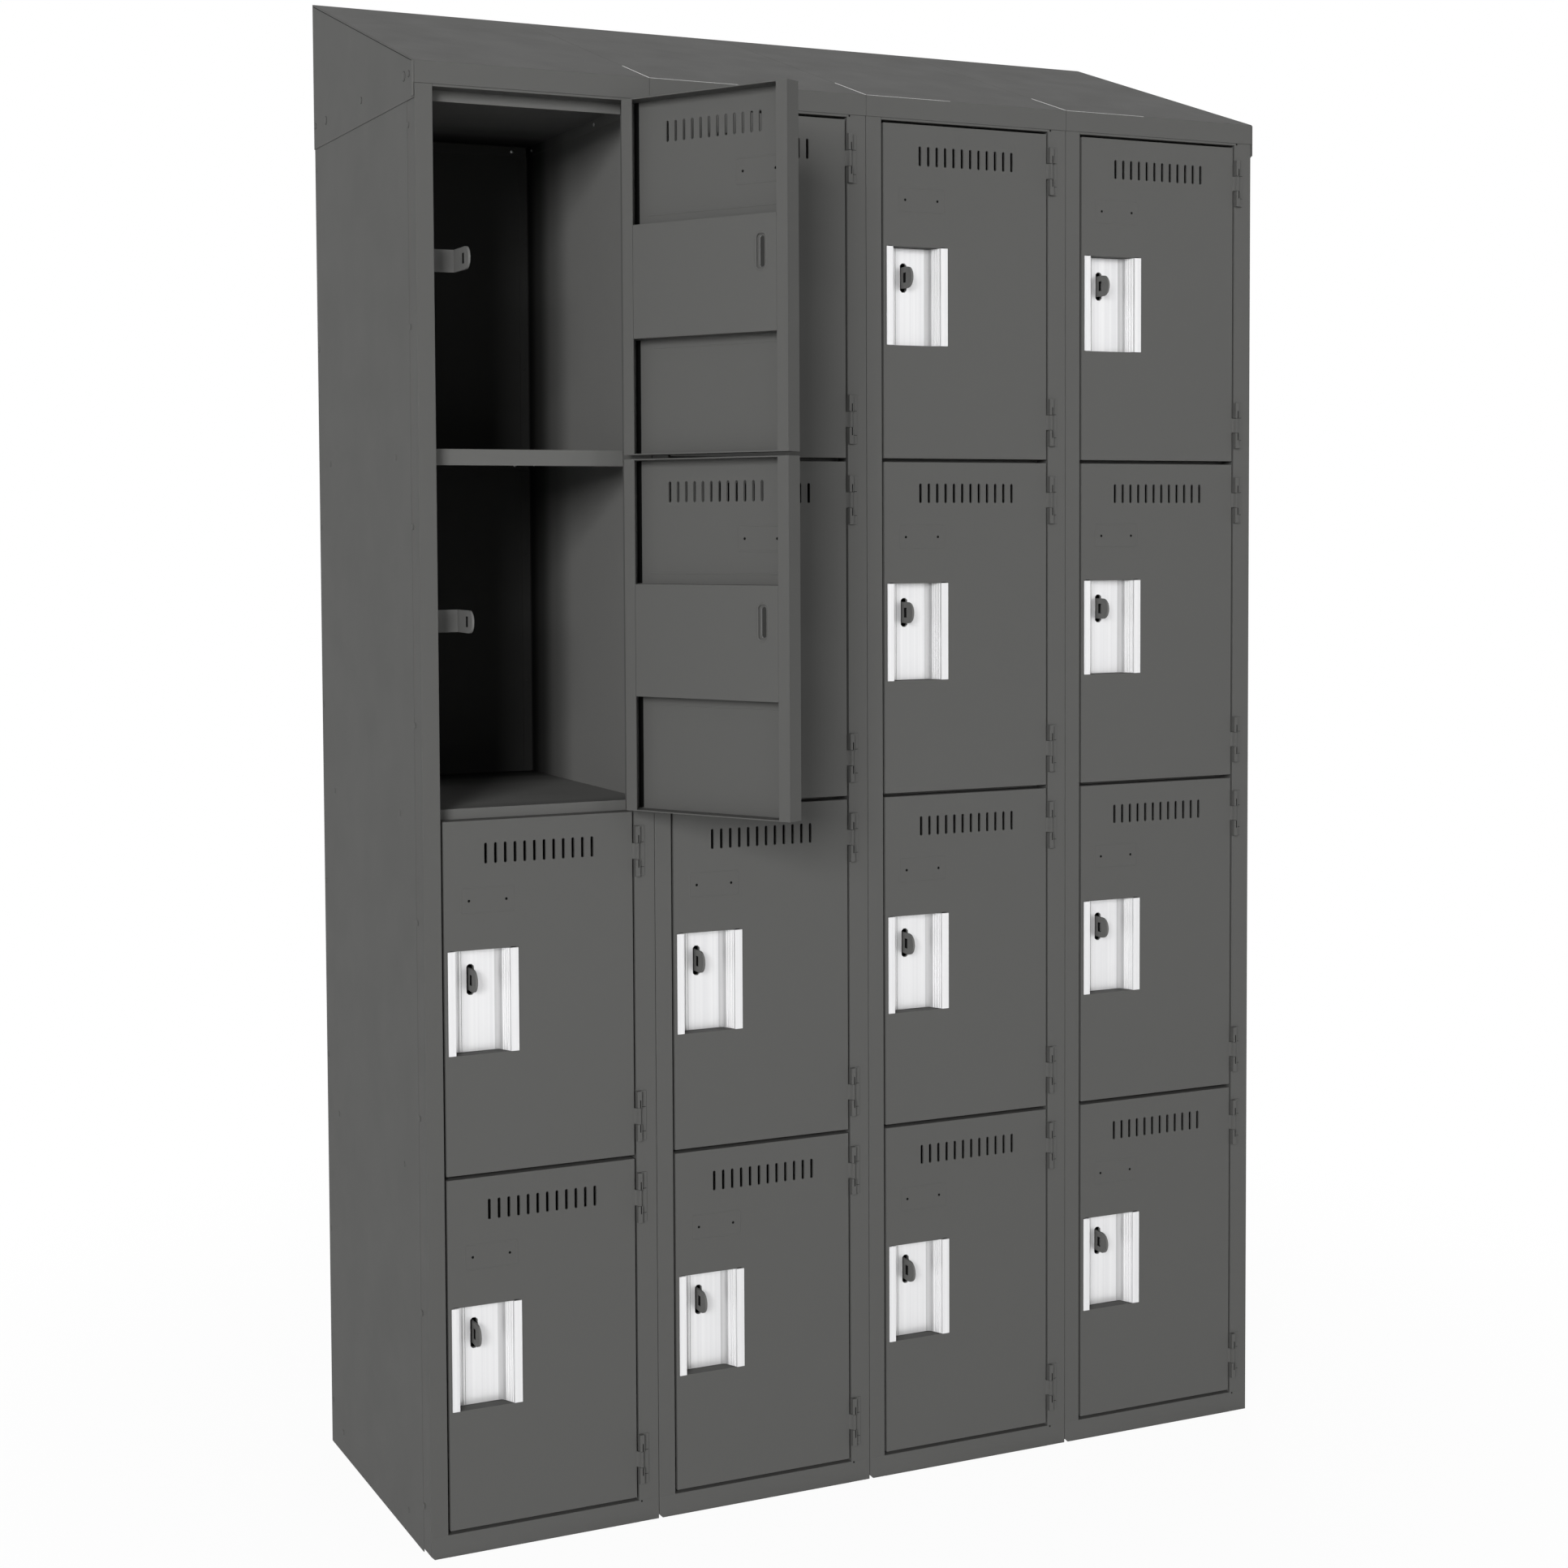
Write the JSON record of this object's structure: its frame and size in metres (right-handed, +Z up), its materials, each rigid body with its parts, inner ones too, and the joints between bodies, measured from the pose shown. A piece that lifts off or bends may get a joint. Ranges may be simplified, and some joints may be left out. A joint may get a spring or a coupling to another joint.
{
  "type": "locker cabinet",
  "caption": "Free-standing steel locker cabinet with a slope top: columns of stacked box lockers, each with a vented hinged door, a recessed pull and a padlock keeper.",
  "frame": {"origin": "on the floor, at the middle of the cabinet's footprint", "axes": "+X to the right seen from the front, +Y from the doors to the back, +Z up"},
  "size_m": [1.2212, 0.6944, 1.986],
  "materials": {
    "paint": "semi-matte charcoal powder coat",
    "aluminium": "satin extruded aluminium"
  },
  "bodies": {
    "cabinet": {"left_jambs": "paint", "right_jambs": "paint", "top_rails": "paint", "base_rails": "paint", "side_panels": "paint", "back_panels": "paint", "shelves": "paint", "ceilings": "paint", "keepers": "paint", "hinge_leaves": "paint", "slope_tops": "paint", "slope_ends": "paint"},
    "door_a1": {"door_pan_a1": "paint", "door_pull_a1": "aluminium", "pull_cover_a1": "paint"},
    "door_a2": {"door_pan_a2": "paint", "door_pull_a2": "aluminium", "pull_cover_a2": "paint"},
    "door_a3": {"door_pan_a3": "paint", "door_pull_a3": "aluminium", "pull_cover_a3": "paint"},
    "door_a4": {"door_pan_a4": "paint", "door_pull_a4": "aluminium", "pull_cover_a4": "paint"},
    "door_b1": {"door_pan_b1": "paint", "door_pull_b1": "aluminium", "pull_cover_b1": "paint"},
    "door_b2": {"door_pan_b2": "paint", "door_pull_b2": "aluminium", "pull_cover_b2": "paint"},
    "door_b3": {"door_pan_b3": "paint", "door_pull_b3": "aluminium", "pull_cover_b3": "paint"},
    "door_b4": {"door_pan_b4": "paint", "door_pull_b4": "aluminium", "pull_cover_b4": "paint"},
    "door_c1": {"door_pan_c1": "paint", "door_pull_c1": "aluminium", "pull_cover_c1": "paint"},
    "door_c2": {"door_pan_c2": "paint", "door_pull_c2": "aluminium", "pull_cover_c2": "paint"},
    "door_c3": {"door_pan_c3": "paint", "door_pull_c3": "aluminium", "pull_cover_c3": "paint"},
    "door_c4": {"door_pan_c4": "paint", "door_pull_c4": "aluminium", "pull_cover_c4": "paint"},
    "door_d1": {"door_pan_d1": "paint", "door_pull_d1": "aluminium", "pull_cover_d1": "paint"},
    "door_d2": {"door_pan_d2": "paint", "door_pull_d2": "aluminium", "pull_cover_d2": "paint"},
    "door_d3": {"door_pan_d3": "paint", "door_pull_d3": "aluminium", "pull_cover_d3": "paint"},
    "door_d4": {"door_pan_d4": "paint", "door_pull_d4": "aluminium", "pull_cover_d4": "paint"}
  },
  "joints": [
    {"name": "door_a1_swing", "type": "hinge", "parent": "cabinet", "child": "door_a1", "pos_m": [-0.3301, -0.2322, 1.363], "axis": [0, 0, 1], "range_deg": [-120, 50]},
    {"name": "door_a2_swing", "type": "hinge", "parent": "cabinet", "child": "door_a2", "pos_m": [-0.3301, -0.2322, 0.9195], "axis": [0, 0, 1], "range_deg": [-120, 50]},
    {"name": "door_a3_swing", "type": "hinge", "parent": "cabinet", "child": "door_a3", "pos_m": [-0.3301, -0.2322, 0.476], "axis": [0, 0, 1], "range_deg": [0, 170]},
    {"name": "door_a4_swing", "type": "hinge", "parent": "cabinet", "child": "door_a4", "pos_m": [-0.3301, -0.2322, 0.0325], "axis": [0, 0, 1], "range_deg": [0, 170]},
    {"name": "door_b1_swing", "type": "hinge", "parent": "cabinet", "child": "door_b1", "pos_m": [-0.0253, -0.2322, 1.363], "axis": [0, 0, 1], "range_deg": [0, 170]},
    {"name": "door_b2_swing", "type": "hinge", "parent": "cabinet", "child": "door_b2", "pos_m": [-0.0253, -0.2322, 0.9195], "axis": [0, 0, 1], "range_deg": [0, 170]},
    {"name": "door_b3_swing", "type": "hinge", "parent": "cabinet", "child": "door_b3", "pos_m": [-0.0253, -0.2322, 0.476], "axis": [0, 0, 1], "range_deg": [0, 170]},
    {"name": "door_b4_swing", "type": "hinge", "parent": "cabinet", "child": "door_b4", "pos_m": [-0.0253, -0.2322, 0.0325], "axis": [0, 0, 1], "range_deg": [0, 170]},
    {"name": "door_c1_swing", "type": "hinge", "parent": "cabinet", "child": "door_c1", "pos_m": [0.2795, -0.2322, 1.363], "axis": [0, 0, 1], "range_deg": [0, 170]},
    {"name": "door_c2_swing", "type": "hinge", "parent": "cabinet", "child": "door_c2", "pos_m": [0.2795, -0.2322, 0.9195], "axis": [0, 0, 1], "range_deg": [0, 170]},
    {"name": "door_c3_swing", "type": "hinge", "parent": "cabinet", "child": "door_c3", "pos_m": [0.2795, -0.2322, 0.476], "axis": [0, 0, 1], "range_deg": [0, 170]},
    {"name": "door_c4_swing", "type": "hinge", "parent": "cabinet", "child": "door_c4", "pos_m": [0.2795, -0.2322, 0.0325], "axis": [0, 0, 1], "range_deg": [0, 170]},
    {"name": "door_d1_swing", "type": "hinge", "parent": "cabinet", "child": "door_d1", "pos_m": [0.5843, -0.2322, 1.363], "axis": [0, 0, 1], "range_deg": [0, 170]},
    {"name": "door_d2_swing", "type": "hinge", "parent": "cabinet", "child": "door_d2", "pos_m": [0.5843, -0.2322, 0.9195], "axis": [0, 0, 1], "range_deg": [0, 170]},
    {"name": "door_d3_swing", "type": "hinge", "parent": "cabinet", "child": "door_d3", "pos_m": [0.5843, -0.2322, 0.476], "axis": [0, 0, 1], "range_deg": [0, 170]},
    {"name": "door_d4_swing", "type": "hinge", "parent": "cabinet", "child": "door_d4", "pos_m": [0.5843, -0.2322, 0.0325], "axis": [0, 0, 1], "range_deg": [0, 170]}
  ]
}
